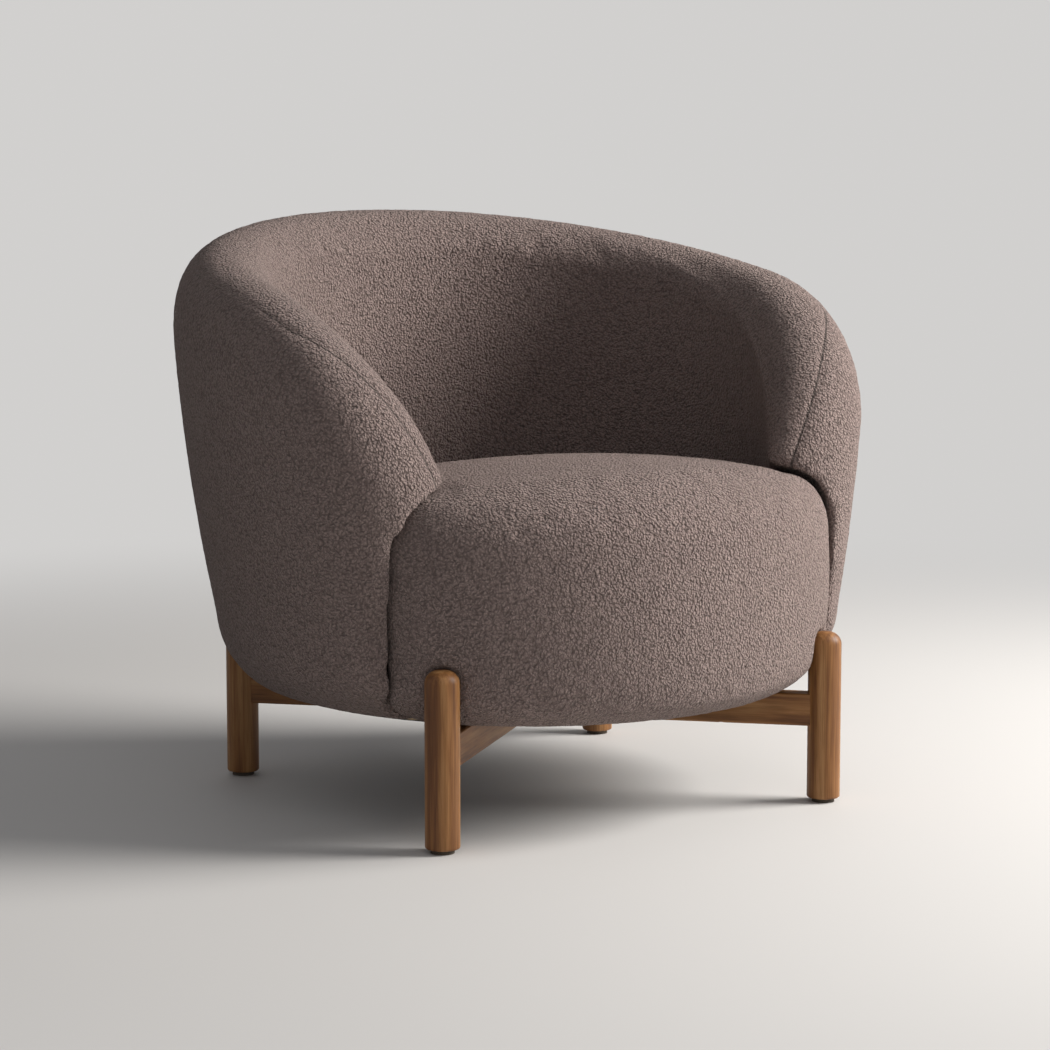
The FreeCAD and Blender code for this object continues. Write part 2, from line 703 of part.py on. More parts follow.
def main():
    os.makedirs("parts", exist_ok=True)
    for name, (x, y) in zip(LEG_NAMES, LEG_SPOTS):
        write(name, leg(x, y))
    write("leg_glides", glides())
    write("cross_rail_upper", cross_rail(1))
    write("cross_rail_lower", cross_rail(-1))
    write("frame_bolts", bolts())
    write("frame_nuts", nuts())
    write("dust_cover", dust_cover())
    write("base_hoop", base_hoop())
    write("seat_hoop", seat_hoop())
    write("front_panel", front_panel())
    write("front_post_left", front_post(-POST_TURN))
    write("front_post_middle", front_post(0))
    write("front_post_right", front_post(POST_TURN))
    along, across = webbing()
    write("webbing_lengthwise", along)
    write("webbing_crosswise", across)
    for name, angle in zip(RIB_NAMES, RIB_ANGLES):
        write(name, rib(angle))
    write("top_rail", frame_loft(top_rail_points))
    write("outer_liner", frame_loft(outer_liner_points))
    write("inner_liner", frame_loft(inner_liner_points))
    upholstery()


if __name__ == "__main__":
    main()
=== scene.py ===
import json
import math

import bmesh
import bpy
import numpy as np
from mathutils import Matrix, Vector, noise
from mathutils.kdtree import KDTree


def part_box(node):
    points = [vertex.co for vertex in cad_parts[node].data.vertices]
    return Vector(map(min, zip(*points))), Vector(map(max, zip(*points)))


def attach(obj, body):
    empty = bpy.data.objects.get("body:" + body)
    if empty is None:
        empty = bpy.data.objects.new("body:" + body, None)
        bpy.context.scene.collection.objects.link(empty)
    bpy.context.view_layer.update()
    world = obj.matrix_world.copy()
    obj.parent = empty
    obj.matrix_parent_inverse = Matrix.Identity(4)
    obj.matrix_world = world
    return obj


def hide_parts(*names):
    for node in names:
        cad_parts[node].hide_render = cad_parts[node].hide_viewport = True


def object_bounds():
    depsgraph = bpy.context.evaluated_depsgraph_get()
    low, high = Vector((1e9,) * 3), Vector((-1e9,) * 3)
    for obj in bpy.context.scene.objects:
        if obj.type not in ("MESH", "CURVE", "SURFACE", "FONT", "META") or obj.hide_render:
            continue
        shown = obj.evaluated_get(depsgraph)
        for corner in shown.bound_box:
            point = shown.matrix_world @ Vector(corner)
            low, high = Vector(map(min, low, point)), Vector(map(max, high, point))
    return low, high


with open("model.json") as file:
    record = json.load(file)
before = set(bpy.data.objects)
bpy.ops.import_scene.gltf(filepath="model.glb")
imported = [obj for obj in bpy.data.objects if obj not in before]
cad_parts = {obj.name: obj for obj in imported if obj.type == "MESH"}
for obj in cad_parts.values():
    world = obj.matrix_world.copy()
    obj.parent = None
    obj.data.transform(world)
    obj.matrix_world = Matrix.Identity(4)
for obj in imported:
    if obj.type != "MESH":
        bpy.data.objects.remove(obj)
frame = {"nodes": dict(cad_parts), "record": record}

# Round tub chair. Sizes in millimetres are named here and used in metres; x and y are counted from
# the middle of the four legs, as in the part's source, and moved by ORIGIN_Y at the end.
MM = 0.001
CAD_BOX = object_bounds()

LEG_LOW, LEG_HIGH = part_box("leg_front_right")
LEG_D = (LEG_HIGH.x - LEG_LOW.x) / MM
LEG_X = (LEG_HIGH.x + LEG_LOW.x) / 2 / MM
LEG_TOP = LEG_HIGH.z / MM
BACK_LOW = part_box("leg_back_right")[0]
LEG_Y = (BACK_LOW.y - LEG_LOW.y) / 2 / MM
ORIGIN_Y = -(BACK_LOW.y + LEG_LOW.y + LEG_D * MM) / 2 / MM
LEG_SPOTS = {"leg_front_left": (-LEG_X, -LEG_Y), "leg_front_right": (LEG_X, -LEG_Y),
             "leg_back_left": (-LEG_X, LEG_Y), "leg_back_right": (LEG_X, LEG_Y)}
GLIDE_T = LEG_LOW.z / MM
LEG_CROWN_R = 15.5
LEG_FOOT_R = 3.0
LEG_FOOT_STEP = 30
LEG_CROWN_STEP = 9
LEG_FIRST_RING = 20.0
LEG_RINGS = 6
LINING_GAP = 0.4
BODY_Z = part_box("dust_cover")[1].z / MM + LINING_GAP

# Tub: radii from the middle, heights from the floor, angles from the back. The back starts higher
# than the CAD's by what smoothing takes off.
SMOOTHED_OFF = 3.5
FLAT_R = 311.0
FOOT_R = 388.0
FOOT_Z = 235.0
SHOULDER_R = 431.0
SHOULDER_Z = 600.0
SIDE_BULGE = 7.0
ARM_FLARE = 9.0
FLARE_FROM = 70.0
LEAN = 0.044
LEAN_FROM_Z = 250.0
BACK_TOP = CAD_BOX[1].z / MM + SMOOTHED_OFF
ARM_TOP = 651.0
RIM_OUT_H = 102.0
RIM_IN_H = 84.0
RIDGE_SHARE = 0.47
RIM_FULLNESS = 0.9
WELL_R = 297.0
WELL_FLARE = 0.022
NOSE_FROM = 90.0
NOSE_END = 133.0
NOSE_DROP = 235.0
NOSE_ROUND = 2.15
CORNER_R = 115.0
CORNER_FROM = 113.0
SIDE_STEP = 2.0
NOSE_STEPS = 30
FOOT_STEPS = 9
WALL_STEPS = 16
RIM_STEP = 6
LINING_STEPS = 20

# The arc that draws the tub's foot in, the same all round
FOOT_RISE = FOOT_Z - BODY_Z
FOOT_RUN = FOOT_R - FLAT_R
FOOT_BEND = (FOOT_RUN ** 2 + FOOT_RISE ** 2) / (2 * FOOT_RUN)
FOOT_SWEEP = math.asin(FOOT_RISE / FOOT_BEND)

# Seat block
SEAT_HALF_W = 307.0
SEAT_FRONT = 350.0
SEAT_BOW_R = 430.0
SEAT_TOP = 430.0
SEAT_CROWN = 24.0
SEAT_CROWN_R = 1500.0
SEAT_APEX_Y = -160.0
SEAT_ROLL = 88.0
SEAT_CORNER_R = 26.0
SEAT_SHOULDER_R = 48.0
SEAT_FLARE = 0.052
SEAT_FLARE_LOW = 0.42
SEAT_FLARE_Z = 370.0
SEAT_CORNER_ROLL = 0.35
SEAT_FACE_BULGE = 5.0
SEAT_TUCK_IN = 13.0
SEAT_TUCK = 22.0
SEAT_TUCK_H = 36.0
SEAT_STATIONS = 26
SEAT_END = 0.9995
TUCK_STEPS = 6
FACE_STEPS = 8
TOP_STEPS = 12
WING_BACK_Y = -178.0
WING_LAP = 10.0
WELL_BELOW = 5.0
BOWL_STEPS = 12
ROUND_STEP = 3
HIGH = 900.0
WIDE = 1300.0

# Soft finish: gaps, mesh sizes, how far cloth may travel, and the seam
PIECE_GAP = 3.5
NEAR_SEAT = 20.0
TUB_VOXEL = 7.5
SEAT_VOXEL = 6.5
TUB_SMOOTHING = 5
SEAT_SMOOTHING = 8
SMOOTH_FACTOR = 0.5
TUB_SWELL = 3.0
SEAT_SWELL = 2.5
WELL_GAP = 1.5
EDGE_SLACK = 1.0
SEAM_DEPTH = 1.6
SEAM_W = 5.0
SEAM_STEPS = 500
SEAM_ANGLE = 60.0
SEAM_RISE = 14.0
SEAM_RISE_FROM = 108.0
SEAM_LINE_W = 1.3
SEAM_FAR = 14.0
SEAM_FAINT = 0.22
SEAM_FAINT_TO = 98.0
LEG_GAP = 1.2
SEAT_LOW = 316.0
CLOTH_PRESSURE = 4.0
CLOTH_FRAMES = 12
CLOTH_QUALITY = 4
PEBBLE_SIZE = 9.0
PEBBLE_HEIGHT = 0.5
LEG_SIDES = 72
CUT_SIDES = 64
TINY = 1e-9
SEED_OFFSET = Vector((3.1, 7.7, 1.3))

# Finishes: linear colours, sizes per metre for the textures' scales
LOOPS_PER_M = 320.0
LOOP_WANDER = 0.003
LOOP_DOME = 1.6
YARN_PER_LOOP = 2.2
YARN_SHARE = 0.3
SEAM_SINK = 0.8
SEAM_SHADE = 0.75
GRAIN_STRETCH = 0.045
# Boucle tones by loop height: painted shade in the gaps between loops, the yarn's mid tone, a painted
# highlight on the loop tops
BOUCLE_GAP_SHADE = (0.165, 0.123, 0.113)
BOUCLE_MID = (0.232, 0.174, 0.160)
BOUCLE_TOP_HIGHLIGHT = (0.30, 0.230, 0.212)
# Painted shade for the seam's crease: a near-black line drawn along the sewn seam
BOUCLE_SEAM_SHADE = (0.03, 0.024, 0.022)
OAK_DARK = (0.135, 0.052, 0.016)
OAK_MID = (0.255, 0.112, 0.035)
OAK_LIGHT = (0.375, 0.196, 0.075)
FLOOR_COLOUR = (0.62, 0.61, 0.60)

# Room and camera, in metres in the part's frame
FLOOR_HALF = 40.0
FADE_FROM = 0.9
FADE_TO = 2.6
BACKDROP_COLOUR = (0.64, 0.63, 0.62, 1)
WORLD_COLOUR = (0.20, 0.20, 0.205, 1)
KEY_SPOT = (2.75, -1.6, 2.1)
KEY_SIZE = 2.1
KEY_WATTS = 245.0
FILL_SPOT = (-1.2, -3.4, 2.6)
FILL_SIZE = 2.5
FILL_WATTS = 16.0
KEY_COLOUR = (1.0, 0.97, 0.93)
FILL_COLOUR = (1.0, 1.0, 1.0)
LAMP_AIM = (0.0, 0.0, 0.4)
CAMERA_SPOT = (-1.974, -3.300, 0.806)
CAMERA_YAW = 31.2
CAMERA_PITCH = 7.05
CAMERA_LENS = 104.64
CAMERA_SENSOR = 36.0


# Mesh helpers

def new_object(name, mesh):
    piece = bpy.data.objects.new(name, mesh)
    bpy.context.scene.collection.objects.link(piece)
    return piece


def closed_rings(name, rings):
    """Closed mesh through rings of equally many points, in millimetres."""
    count = len(rings[0])
    verts = [Vector(p) * MM for ring in rings for p in ring]
    faces = [list(range(count))[::-1], [len(verts) - count + i for i in range(count)]]
    for k in range(len(rings) - 1):
        for i in range(count):
            j = (i + 1) % count
            faces.append([k * count + i, k * count + j, (k + 1) * count + j, (k + 1) * count + i])
    mesh = bpy.data.meshes.new(name)
    mesh.from_pydata(verts, [], faces)
    shape = bmesh.new()
    shape.from_mesh(mesh)
    bmesh.ops.recalc_face_normals(shape, faces=shape.faces)
    shape.to_mesh(mesh)
    shape.free()
    return new_object(name, mesh)


def block(name, x0, x1, y0, y1, z0, z1):
    low = [(x0, y0, z0), (x1, y0, z0), (x1, y1, z0), (x0, y1, z0)]
    return closed_rings(name, [low, [(x, y, z1) for x, y, z in low]])


def tube(name, r, z0, z1, x, y):
    turns = [2 * math.pi * i / CUT_SIDES for i in range(CUT_SIDES)]
    ring = [(x + r * math.cos(t), y + r * math.sin(t), z0) for t in turns]
    return closed_rings(name, [ring, [(px, py, z1) for px, py, pz in ring]])


def apply_modifiers(piece):
    evaluated = piece.evaluated_get(bpy.context.evaluated_depsgraph_get())
    mesh = bpy.data.meshes.new_from_object(evaluated)
    piece.modifiers.clear()
    piece.data = mesh


def combine(piece, other, operation):
    """Boolean of two closed meshes; the second one is used up."""
    step = piece.modifiers.new("combine", "BOOLEAN")
    step.operation = operation
    step.solver = "MANIFOLD"
    step.object = other
    apply_modifiers(piece)
    bpy.data.objects.remove(other)
    return piece


def remesh(piece, size):
    step = piece.modifiers.new("remesh", "REMESH")
    step.mode = "VOXEL"
    step.voxel_size = size * MM
    apply_modifiers(piece)


def smooth(piece, times):
    step = piece.modifiers.new("smooth", "SMOOTH")
    step.iterations = times
    step.factor = SMOOTH_FACTOR
    apply_modifiers(piece)


def coordinates(mesh):
    co = np.empty(len(mesh.vertices) * 3)
    mesh.vertices.foreach_get("co", co)
    return co.reshape(-1, 3)


def normals(mesh):
    values = np.empty(len(mesh.vertices) * 3)
    mesh.vertices.foreach_get("normal", values)
    return values.reshape(-1, 3)


def move_to(mesh, co):
    mesh.vertices.foreach_set("co", co.ravel())
    mesh.update()


# Outline of the tub

def place(r, z, theta):
    a = math.radians(theta)
    return (r * math.sin(a), r * math.cos(a) + LEAN * (z - LEAN_FROM_Z), z)


def side_radius(z):
    u = (z - FOOT_Z) / (SHOULDER_Z - FOOT_Z)
    return FOOT_R + (SHOULDER_R - FOOT_R) * u + 4 * SIDE_BULGE * u * (1 - u)


def corner_radius(r, theta):
    """Outer radius along the arm, which swells a little and turns in on a round corner."""
    u = min(max((abs(theta) - FLARE_FROM) / (CORNER_FROM - FLARE_FROM), 0.0), 1.0)
    r += ARM_FLARE * u * u * (3 - 2 * u)
    turn = math.radians(abs(theta) - CORNER_FROM)
    if turn <= 0:
        return r
    reach = r - CORNER_R
    return reach * math.cos(turn) + math.sqrt(max(CORNER_R ** 2 - (reach * math.sin(turn)) ** 2, 0))


def well_radius(z):
    return WELL_R + WELL_FLARE * (z - BODY_Z)


def ridge_height(theta):
    a = abs(theta)
    height = ARM_TOP + (BACK_TOP - ARM_TOP) * math.cos(math.radians(a))
    if a > NOSE_FROM:
        u = min((a - NOSE_FROM) / (NOSE_END - NOSE_FROM), 1.0)
        height -= NOSE_DROP * (1 - math.sqrt(1 - u ** NOSE_ROUND))
    return height


def wall(theta):
    """Sizes of the wall at one angle: top, share, outer and inner levels, ridge."""
    top = ridge_height(theta)
    full = side_radius(top - RIM_OUT_H) - well_radius(top)
    wide = corner_radius(side_radius(top - RIM_OUT_H), theta) - well_radius(top)
    share = math.sqrt(wide / full)
    z_out = top - RIM_OUT_H * share
    z_in = top - RIM_IN_H * share
    r_out = corner_radius(side_radius(z_out), theta)
    r_in = well_radius(z_in)
    return top, share, z_out, z_in, r_out, r_in, r_in + RIDGE_SHARE * (r_out - r_in)


def rim_point(theta, angle, outer=True):
    """A point of the rolled rim; the angle is 0 at the side and 90 on the ridge."""
    top, share, z_out, z_in, r_out, r_in, ridge = wall(theta)
    a = math.radians(angle)
    reach, height = (r_out - ridge, RIM_OUT_H) if outer else (r_in - ridge, RIM_IN_H)
    side, rise = max(math.cos(a), 0.0) ** RIM_FULLNESS, math.sin(a) ** RIM_FULLNESS
    return place(ridge + reach * side, top - height * share * (1 - rise), theta)


def wall_ring(theta):
    """One section of the wall: in under the foot, up the outside, over the rim and down the lining."""
    top, share, z_out, z_in, r_out, r_in, ridge = wall(theta)
    foot_z = min(FOOT_Z, z_out - RIM_OUT_H / 4)
    r_foot = corner_radius(side_radius(foot_z), theta)
    points = [place(WELL_R, foot_z - FOOT_BEND * math.sin(FOOT_SWEEP), theta)]
    for i in range(FOOT_STEPS):
        a = FOOT_SWEEP * (1 - i / FOOT_STEPS)
        share_in = (1 - math.cos(a)) / (1 - math.cos(FOOT_SWEEP))
        points.append(place(r_foot - (r_foot - FLAT_R) * share_in, foot_z - FOOT_BEND * math.sin(a), theta))
    for i in range(WALL_STEPS):
        z = foot_z + (z_out - foot_z) * i / WALL_STEPS
        points.append(place(corner_radius(side_radius(z), theta), z, theta))
    points += [rim_point(theta, a) for a in range(0, 90, RIM_STEP)]
    points += [rim_point(theta, a, False) for a in range(90, -1, -RIM_STEP)]
    z_low = points[0][2]
    for i in range(1, LINING_STEPS):
        z = z_in + (z_low - z_in) * i / LINING_STEPS
        points.append(place(well_radius(z), z, theta))
    return points


def tub_angles():
    half = [SIDE_STEP * i for i in range(int(NOSE_FROM / SIDE_STEP))]
    for i in range(NOSE_STEPS + 1):
        half.append(NOSE_FROM + (NOSE_END - NOSE_FROM) * math.sin(math.radians(90 * i / NOSE_STEPS)))
    return [-a for a in reversed(half[1:])] + half


# Outline of the seat

def seat_front(x, grow):
    half = SEAT_HALF_W + grow
    bow = SEAT_BOW_R + grow
    y = bow - math.sqrt(bow ** 2 - x * x) - (SEAT_FRONT + grow)
    over = abs(x) - (half - SEAT_CORNER_R)
    if over > 0:
        y += SEAT_CORNER_R - math.sqrt(max(SEAT_CORNER_R ** 2 - over ** 2, 0.0))
    return y


def seat_height(x, grow):
    flat = SEAT_HALF_W + grow - SEAT_SHOULDER_R
    z = SEAT_TOP + grow - SEAT_CROWN * (x / flat) ** 2
    over = abs(x) - flat
    if over > 0:
        z -= SEAT_SHOULDER_R - math.sqrt(max(SEAT_SHOULDER_R ** 2 - over ** 2, 0.0))
    return z


def flare_share(z):
    """How far the seat leans out sideways at one height: drawn in at the base, full at its shoulders."""
    return min(max((z - BODY_Z) / (SEAT_FLARE_Z - BODY_Z), 0.0), 1.0) - SEAT_FLARE_LOW


def seat_ring(x, grow):
    """One lengthwise section of the seat: tucked foot, bulging face, rolled edge and crowned top."""
    front = seat_front(x, grow)
    top = seat_height(x, grow)
    roll = SEAT_ROLL * (1 - SEAT_CORNER_ROLL * (x / SEAT_HALF_W) ** 2)
    roll_end = front + roll
    face_top = top - roll
    face_low = BODY_Z + SEAT_TUCK_H

    def crown(y):
        return top - SEAT_CROWN_R + math.sqrt(SEAT_CROWN_R ** 2 - (y - SEAT_APEX_Y) ** 2)

    points = [(x, WELL_R, BODY_Z), (x, front + SEAT_TUCK_IN + SEAT_TUCK, BODY_Z)]
    for i in range(1, TUCK_STEPS):
        a = math.radians(90 * i / TUCK_STEPS)
        tuck = (SEAT_TUCK_IN + SEAT_TUCK) * (1 - math.sin(a))
        points.append((x, front + tuck, face_low - SEAT_TUCK_H * math.cos(a)))
    for i in range(FACE_STEPS + 1):
        u = i / FACE_STEPS
        points.append((x, front - 4 * SEAT_FACE_BULGE * u * (1 - u), face_low + (face_top - face_low) * u))
    rise = crown(roll_end) - face_top
    for i in range(1, TOP_STEPS + 1):
        a = math.radians(90 * i / TOP_STEPS)
        points.append((x, roll_end - roll * math.cos(a), face_top + rise * math.sin(a)))
    for i in range(1, TOP_STEPS + 1):
        y = roll_end + (WELL_R - roll_end) * i / TOP_STEPS
        points.append((x, y, crown(y)))
    return [(px * (1 + SEAT_FLARE * flare_share(z)), y, z) for px, y, z in points]


def seat_block(name, grow):
    half = SEAT_HALF_W + grow
    turns = [half * math.sin(math.radians(90 * i / SEAT_STATIONS)) for i in range(SEAT_STATIONS)]
    turns.append(half * SEAT_END)
    stations = [-x for x in reversed(turns[1:])] + turns
    return closed_rings(name, [seat_ring(x, grow) for x in stations])


def well(name, gap):
    """The leaning round space inside the tub, drawn in by a gap."""
    rings = []
    for z in (BODY_Z - WELL_BELOW, HIGH):
        rings.append([place(well_radius(z) - gap, z, float(a)) for a in range(0, 360, ROUND_STEP)])
    return closed_rings(name, rings)


def bowl(name):
    """Round form that cuts the seat's front corners to the tub's drawn-in foot."""
    levels = []
    for i in range(BOWL_STEPS + 1):
        a = FOOT_SWEEP * (1 - i / BOWL_STEPS)
        levels.append((FOOT_R - FOOT_BEND * (1 - math.cos(a)), FOOT_Z - FOOT_BEND * math.sin(a)))
    levels.append((FOOT_R, HIGH))
    turns = [math.radians(a) for a in range(0, 360, ROUND_STEP)]
    return closed_rings(name, [[(r * math.sin(t), r * math.cos(t), z) for t in turns] for r, z in levels])


# Soft finish

def inflate(piece, swell, limit):
    """Cloth under light air pressure, its travel capped, for the full look of a stuffed piece."""
    start = coordinates(piece.data)
    cloth = piece.modifiers.new("cloth", "CLOTH")
    cloth.settings.use_pressure = True
    cloth.settings.uniform_pressure_force = CLOTH_PRESSURE
    cloth.settings.effector_weights.gravity = 0.0
    cloth.settings.quality = CLOTH_QUALITY
    cloth.point_cache.frame_start = 1
    cloth.point_cache.frame_end = CLOTH_FRAMES
    for f in range(1, CLOTH_FRAMES + 1):
        bpy.context.scene.frame_set(f)
    apply_modifiers(piece)
    bpy.context.scene.frame_set(1)
    step = coordinates(piece.data) - start
    length = np.linalg.norm(step, axis=1, keepdims=True)
    grown = start + step * np.minimum(1.0, swell * MM / np.maximum(length, TINY))
    move_to(piece.data, limit(start, grown))


def well_distance(co):
    """Reach of each point from the leaning middle line, and that of the round space's wall, in metres."""
    y = co[:, 1] - LEAN * (co[:, 2] - LEAN_FROM_Z * MM)
    return np.hypot(co[:, 0], y), y, (WELL_R * MM + WELL_FLARE * (co[:, 2] - BODY_Z * MM))


def set_reach(co, y, reach, wanted):
    """The same points at the wanted reach from the leaning middle line."""
    share = wanted / np.maximum(reach, TINY)
    lean = co[:, 1] - y
    return np.column_stack((co[:, 0] * share, y * share + lean, co[:, 2]))


def outside_well(start, co):
    """The tub keeps out of the round space that the seat fills, and off the seat's wings."""
    depth = np.maximum(np.abs(start[:, 0]) - SEAT_HALF_W * MM, start[:, 1] - WING_BACK_Y * MM)
    depth = np.maximum(depth, start[:, 2] - SEAT_TOP * MM) / (NEAR_SEAT * MM)
    co = start + (co - start) * np.clip(depth, 0, 1)[:, None]
    reach, y, wall_reach = well_distance(co)
    return set_reach(co, y, reach, np.maximum(reach, wall_reach))


def inside_well(start, co):
    """The seat keeps off the tub's wall, behind its wings and beside them."""
    beside = (SEAT_HALF_W * MM - np.abs(start[:, 0])) / (NEAR_SEAT * MM)
    co = start + (co - start) * np.clip(beside, 0, 1)[:, None]
    reach, y, wall_reach = well_distance(co)
    held = set_reach(co, y, reach, np.minimum(reach, wall_reach - WELL_GAP * MM))
    behind = start[:, 1] > (WING_BACK_Y - PIECE_GAP + EDGE_SLACK) * MM
    return np.where(behind[:, None], held, co)


def tree_of(points):
    tree = KDTree(len(points))
    for i, p in enumerate(points):
        tree.insert(p, i)
    tree.balance()
    return tree


def seam_groove(piece, line, strength, depth, width):
    """Draws the padding in along a sewn line, and keeps each point's side, distance and strength."""
    tree = tree_of(line)
    co, out = coordinates(piece.data), normals(piece.data)
    marks = np.zeros((len(co), 3))
    for i, p in enumerate(co):
        near, k, distance = tree.find(p)
        along = (line[min(k + 1, len(line) - 1)] - line[max(k - 1, 0)]).normalized()
        across = along.cross(Vector(out[i])).dot(Vector(p) - near)
        marks[i] = (across, distance, strength[k])
    draw = np.exp(-(marks[:, 1] / width) ** 2) * marks[:, 2] * depth
    move_to(piece.data, co - out * draw[:, None])
    layer = piece.data.attributes.new("seam", "FLOAT_VECTOR", "POINT")
    layer.data.foreach_set("vector", marks.ravel())


def pebble(piece, height):
    """Slight unevenness of padding under a looped cloth."""
    co, out = coordinates(piece.data), normals(piece.data)
    lift = np.array([noise.fractal(Vector(p) / (PEBBLE_SIZE * MM) + SEED_OFFSET, 1.0, 2.0, 2) for p in co])
    move_to(piece.data, co + out * (lift * height * MM)[:, None])


def sit_flat(piece, z):
    """Keeps a soft piece above the base it rests on."""
    co = coordinates(piece.data)
    co[:, 2] = np.maximum(co[:, 2], z * MM)
    move_to(piece.data, co)


def seam_line():
    """Points of the seam between the covers, and its strength, which is full on the arm fronts."""
    points, strength = [], []
    for i in range(-SEAM_STEPS, SEAM_STEPS + 1):
        theta = NOSE_END * math.sin(math.radians(90 * i / SEAM_STEPS))
        ahead = max(0.0, (abs(theta) - SEAM_RISE_FROM) / (NOSE_END - SEAM_RISE_FROM))
        points.append(Vector(rim_point(theta, SEAM_ANGLE + SEAM_RISE * math.sin(math.pi * ahead))) * MM)
        clear = min(max((abs(theta) - SEAM_FAINT_TO) / (SEAM_RISE_FROM - SEAM_FAINT_TO), 0.0), 1.0)
        strength.append(SEAM_FAINT + (1 - SEAM_FAINT) * clear)
    return points, strength


def leg_wells(piece, gap):
    for x, y in LEG_SPOTS.values():
        combine(piece, tube("well_cut", LEG_D / 2 + gap, 0, LEG_TOP + gap, x, y), "DIFFERENCE")


def finish_soft(name, piece, voxel, times, swell, limit, line=None):
    remesh(piece, voxel)
    smooth(piece, times)
    inflate(piece, swell, limit)
    step = piece.modifiers.new("finer", "SUBSURF")
    step.levels = 1
    apply_modifiers(piece)
    pebble(piece, PEBBLE_HEIGHT)
    if line:
        seam_groove(piece, *line, SEAM_DEPTH * MM, SEAM_W * MM)
    sit_flat(piece, BODY_Z)
    piece.name = piece.data.name = name
    piece.data.shade_smooth()
    piece.data.transform(Matrix.Translation((0, -ORIGIN_Y * MM, 0)))
    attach(piece, "root")


def make_tub():
    tub = closed_rings("tub", [wall_ring(a) for a in tub_angles()])
    room = seat_block("room", PIECE_GAP)
    combine(room, block("front", -WIDE, WIDE, -WIDE, WING_BACK_Y + PIECE_GAP, 0, HIGH), "INTERSECT")
    combine(tub, room, "DIFFERENCE")
    leg_wells(tub, LEG_GAP)
    finish_soft("tub_cover", tub, TUB_VOXEL, TUB_SMOOTHING, TUB_SWELL, outside_well, seam_line())
    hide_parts("outer_cover", "inner_cover", "tub_foam")
    return tub


def make_seat():
    seat = seat_block("seat", 0.0)
    behind = block("behind", -WIDE, WIDE, WING_BACK_Y - WING_LAP, WIDE, SEAT_LOW, HIGH)
    inside = combine(well("inside", PIECE_GAP), behind, "INTERSECT")
    wings = block("wings", -WIDE, WIDE, -WIDE, WING_BACK_Y - PIECE_GAP, 0, HIGH)
    combine(inside, wings, "UNION")
    combine(seat, inside, "INTERSECT")
    combine(seat, bowl("bowl"), "INTERSECT")
    leg_wells(seat, LEG_GAP)
    finish_soft("seat_cushion", seat, SEAT_VOXEL, SEAT_SMOOTHING, SEAT_SWELL, inside_well)
    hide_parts("seat_cover", "seat_foam")
    return seat


# Base

def turned_leg(name, x, y):
    """Dowel with a rounded crown and a softened foot."""
    r = LEG_D / 2
    profile = [(r - LEG_FOOT_R, GLIDE_T)]
    for a in range(LEG_FOOT_STEP, 91, LEG_FOOT_STEP):
        turn = math.radians(a)
        profile.append((r - LEG_FOOT_R * (1 - math.sin(turn)), GLIDE_T + LEG_FOOT_R * (1 - math.cos(turn))))
    profile += [(r, z) for z in np.linspace(GLIDE_T + LEG_FIRST_RING, LEG_TOP - LEG_CROWN_R, LEG_RINGS)]
    for a in range(LEG_CROWN_STEP, 91, LEG_CROWN_STEP):
        turn = math.radians(a)
        profile.append((r - LEG_CROWN_R * (1 - math.cos(turn)), LEG_TOP - LEG_CROWN_R * (1 - math.sin(turn))))
    middle_y = y - ORIGIN_Y
    shape = bmesh.new()
    ends = [shape.verts.new(Vector((x, middle_y, z)) * MM) for z in (GLIDE_T, LEG_TOP)]
    turns = [2 * math.pi * i / LEG_SIDES for i in range(LEG_SIDES)]
    rings = []
    for radius, z in profile:
        ring = [Vector((x + radius * math.cos(t), middle_y + radius * math.sin(t), z)) for t in turns]
        rings.append([shape.verts.new(point * MM) for point in ring])
    for i in range(LEG_SIDES):
        j = (i + 1) % LEG_SIDES
        shape.faces.new((ends[0], rings[0][j], rings[0][i]))
        shape.faces.new((ends[1], rings[-1][i], rings[-1][j]))
        for low, high in zip(rings, rings[1:]):
            shape.faces.new((low[i], low[j], high[j], high[i]))
    mesh = bpy.data.meshes.new(name + "_turned")
    shape.to_mesh(mesh)
    shape.free()
    mesh.shade_smooth()
    leg = new_object(name + "_turned", mesh)
    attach(leg, "root")
    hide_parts(name)
    return leg


# Materials

def material(name, roughness):
    made = bpy.data.materials.new(name)
    made.use_nodes = True
    shader = made.node_tree.nodes["Principled BSDF"]
    shader.inputs["Roughness"].default_value = roughness
    return made, made.node_tree, shader


def node(tree, kind, **values):
    made = tree.nodes.new(kind)
    for key, value in values.items():
        if key in made.inputs:
            made.inputs[key].default_value = value
        else:
            setattr(made, key, value)
    return made


def place_vector(tree, scale=(1, 1, 1), turn=0.0):
    """Object coordinates, turned about Z and then stretched."""
    where = node(tree, "ShaderNodeTexCoord")
    turned = node(tree, "ShaderNodeMapping", Rotation=(0, 0, turn))
    stretched = node(tree, "ShaderNodeMapping", Scale=scale)
    tree.links.new(where.outputs["Object"], turned.inputs["Vector"])
    tree.links.new(turned.outputs["Vector"], stretched.inputs["Vector"])
    return stretched.outputs["Vector"]


def ramp(tree, source, stops):
    made = tree.nodes.new("ShaderNodeValToRGB")
    band = made.color_ramp
    while len(band.elements) < len(stops):
        band.elements.new(0.5)
    for element, (spot, colour) in zip(band.elements, stops):
        element.position = spot
        element.color = (*colour, 1)
    tree.links.new(source, made.inputs["Fac"])
    return made.outputs["Color"]


def mix(tree, kind, factor, a, b):
    made = node(tree, "ShaderNodeMix", data_type="RGBA", blend_type=kind)
    for value, socket in ((factor, made.inputs[0]), (a, made.inputs[6]), (b, made.inputs[7])):
        if hasattr(value, "is_linked"):
            tree.links.new(value, socket)
        else:
            socket.default_value = value
    return made.outputs[2]


def calc(tree, kind, a, b):
    made = node(tree, "ShaderNodeMath", operation=kind)
    for value, socket in ((a, made.inputs[0]), (b, made.inputs[1])):
        if hasattr(value, "is_linked"):
            tree.links.new(value, socket)
        else:
            socket.default_value = value
    return made.outputs[0]


